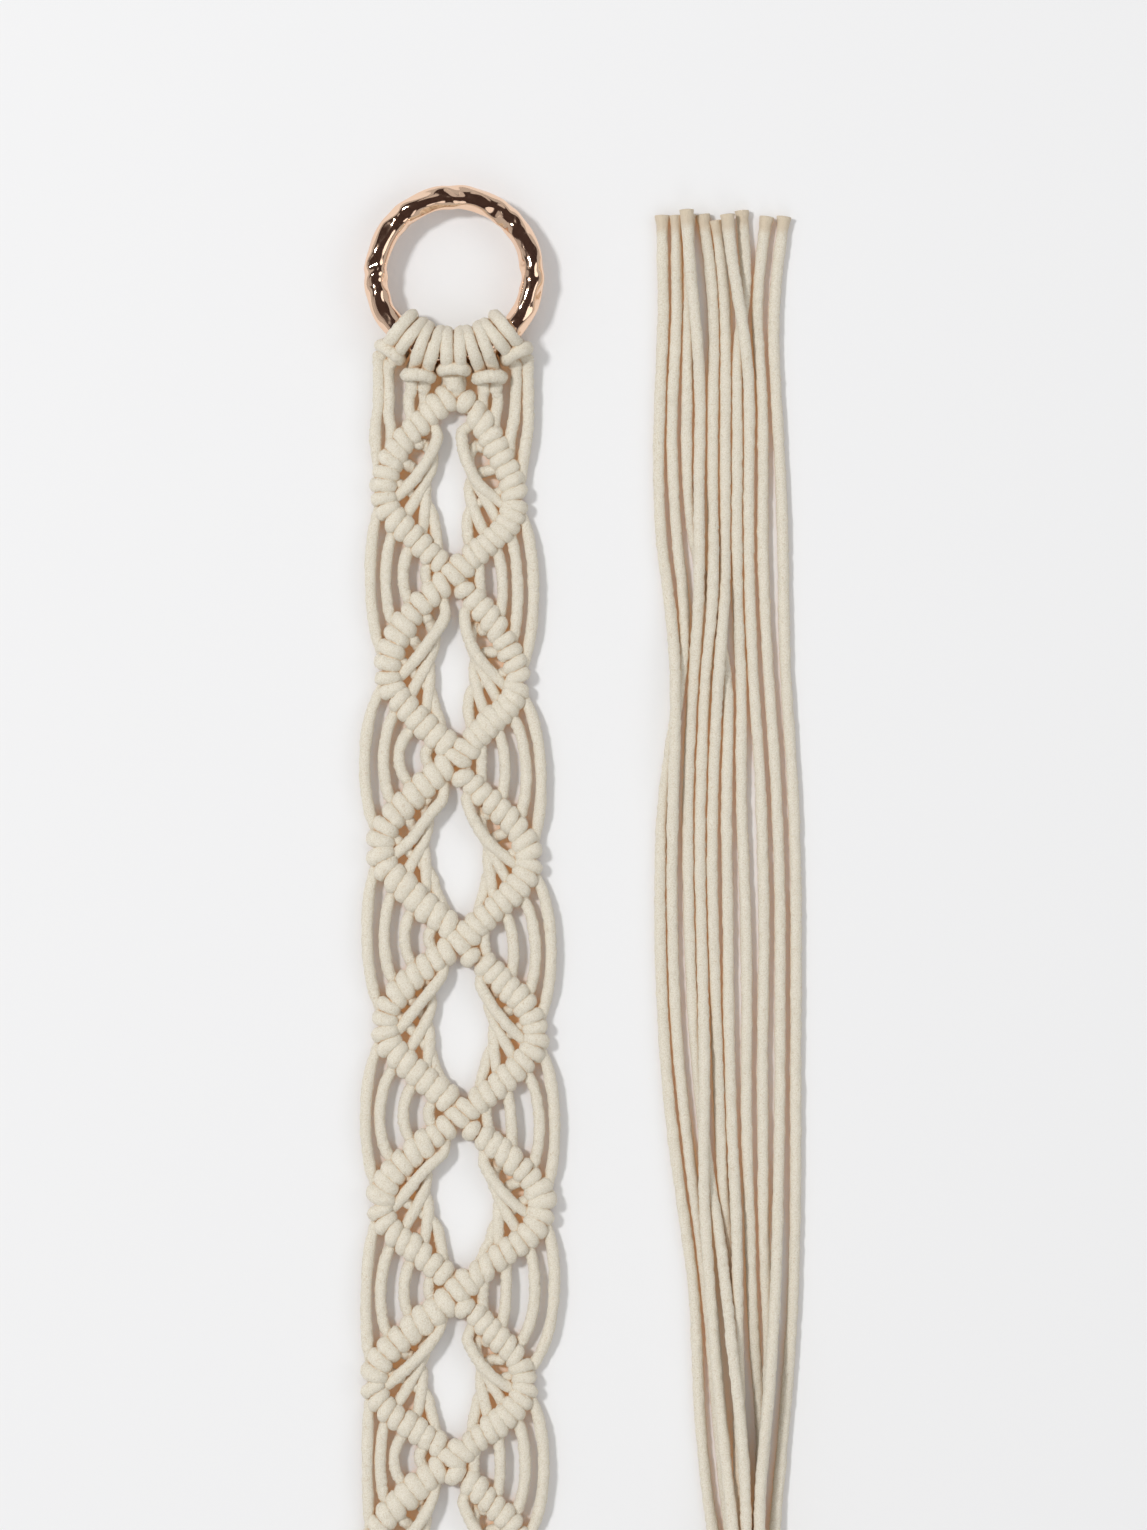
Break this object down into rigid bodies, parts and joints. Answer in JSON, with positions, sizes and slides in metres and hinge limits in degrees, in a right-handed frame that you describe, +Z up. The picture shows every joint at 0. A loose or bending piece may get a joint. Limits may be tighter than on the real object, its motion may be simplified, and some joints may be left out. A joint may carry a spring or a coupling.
{
  "type": "hanging macrame planter",
  "caption": "Knotted cotton cord plant hanger: a metal ring, a band of open diamonds, a tied net for a pot, a wrapped gathering and a long loose fringe.",
  "frame": {"origin": "on the surface it lies on, under the middle of the ring, the knotted band, the net's knots and the gathering wrap taken together", "axes": "+X across the work towards the fringe, +Y along the band from its foot to the ring, +Z up from the surface"},
  "size_m": [0.1616, 0.7052, 0.0192],
  "materials": {
    "ring_metal": "polished, lightly hammered, rose gold",
    "cotton_cord": "soft matt cotton",
    "wrap_cord": "soft matt cotton"
  },
  "bodies": {
    "band": {"neck_cords": "cotton_cord", "crossing_knot_1": "cotton_cord", "crossing_knot_2": "cotton_cord", "crossing_knot_3": "cotton_cord", "crossing_knot_4": "cotton_cord", "crossing_knot_5": "cotton_cord", "crossing_knot_6": "cotton_cord", "crossing_knot_7": "cotton_cord", "crossing_knot_8": "cotton_cord", "diamond_1_knot_rows": "cotton_cord", "diamond_2_knot_rows": "cotton_cord", "diamond_3_knot_rows": "cotton_cord", "diamond_4_knot_rows": "cotton_cord", "diamond_5_knot_rows": "cotton_cord", "diamond_6_knot_rows": "cotton_cord", "diamond_7_knot_rows": "cotton_cord", "diamond_1_inner_strands": "cotton_cord", "diamond_2_inner_strands": "cotton_cord", "diamond_3_inner_strands": "cotton_cord", "diamond_4_inner_strands": "cotton_cord", "diamond_5_inner_strands": "cotton_cord", "diamond_6_inner_strands": "cotton_cord", "diamond_7_inner_strands": "cotton_cord", "side_loops_1": "cotton_cord", "side_loops_2": "cotton_cord", "side_loops_3": "cotton_cord", "side_loops_4": "cotton_cord", "side_loops_5": "cotton_cord", "side_loops_6": "cotton_cord", "cradle_cord_01": "cotton_cord", "cradle_cord_02": "cotton_cord", "cradle_cord_03": "cotton_cord", "cradle_cord_04": "cotton_cord", "cradle_cord_05": "cotton_cord", "cradle_cord_06": "cotton_cord", "cradle_cord_07": "cotton_cord", "cradle_cord_08": "cotton_cord", "cradle_cord_09": "cotton_cord", "cradle_cord_10": "cotton_cord", "arm_knots": "cotton_cord", "pocket_knots": "cotton_cord", "gathering_wrap": "wrap_cord", "fringe_cord_01": "cotton_cord", "fringe_cord_02": "cotton_cord", "fringe_cord_03": "cotton_cord", "fringe_cord_04": "cotton_cord", "fringe_cord_05": "cotton_cord", "fringe_cord_06": "cotton_cord", "fringe_cord_07": "cotton_cord", "fringe_cord_08": "cotton_cord", "fringe_cord_09": "cotton_cord", "fringe_cord_10": "cotton_cord"},
    "ring_hitches": {"larks_head_knot_1": "cotton_cord", "larks_head_knot_2": "cotton_cord", "larks_head_knot_3": "cotton_cord", "larks_head_knot_4": "cotton_cord", "larks_head_knot_5": "cotton_cord"},
    "ring": {"hanging_ring": "ring_metal"}
  },
  "joints": [
    {"name": "ring_tilt", "type": "hinge", "parent": "band", "child": "ring_hitches", "pos_m": [-0.0475, 0.2491, 0.0081], "axis": [1, 0, 0], "range_deg": [0, 90], "deforming": ["neck_cords"]},
    {"name": "ring_turn", "type": "hinge", "parent": "ring_hitches", "child": "ring", "pos_m": [-0.0475, 0.2845, 0.0081], "axis": [0, 0, 1], "continuous": true}
  ]
}
